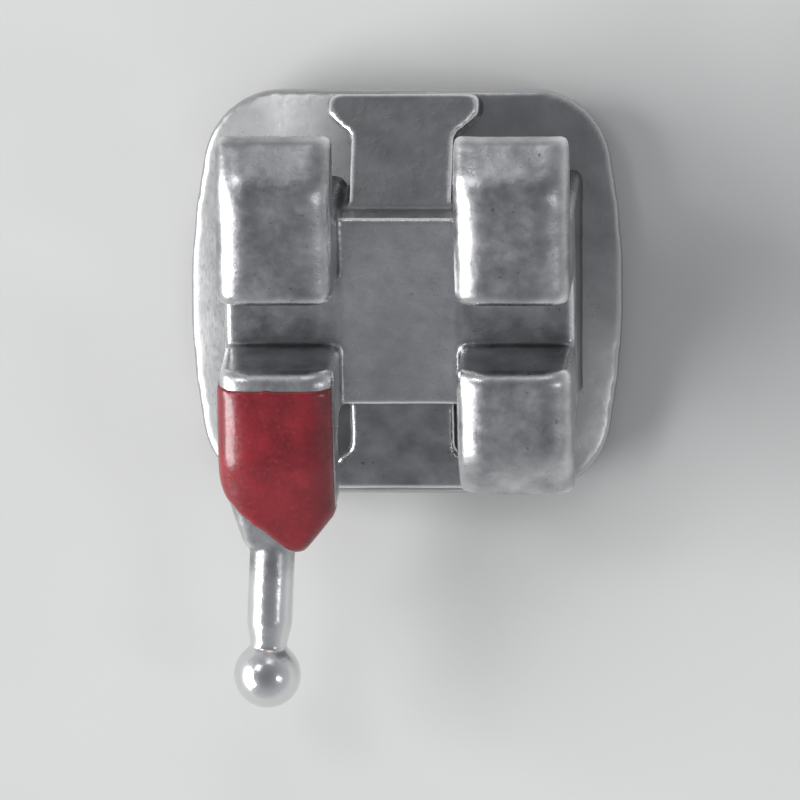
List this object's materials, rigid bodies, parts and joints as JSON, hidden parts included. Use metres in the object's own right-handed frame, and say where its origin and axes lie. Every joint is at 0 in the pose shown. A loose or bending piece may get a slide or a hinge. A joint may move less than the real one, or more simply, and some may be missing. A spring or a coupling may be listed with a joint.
{
  "type": "orthodontic bracket",
  "caption": "Twin orthodontic bracket with tie wings round an archwire slot, a ball hook on a red-marked wing, and a curved bonding pad backed by wire screen.",
  "frame": {"origin": "the middle of the pad's bonding face, where the bracket's base meets the crown", "axes": "+X is mesial and lies along the archwire slot, +Y is occlusal, +Z is labial, straight out of the tooth; the hook points to -Y"},
  "size_m": [0.0036, 0.0051, 0.0024],
  "materials": {
    "cast_steel": "cast stainless steel, tumbled and electropolished to a fine satin",
    "foil_steel": "thin rolled stainless foil, dull after brazing",
    "wire_steel": "fine stainless wire cloth, matt after brazing",
    "red_enamel": "deep red glossy enamel"
  },
  "bodies": {
    "root": {"bracket_body": "cast_steel", "pad_foil": "foil_steel", "bonding_mesh": "wire_steel", "colour_mark": "red_enamel"}
  },
  "joints": []
}
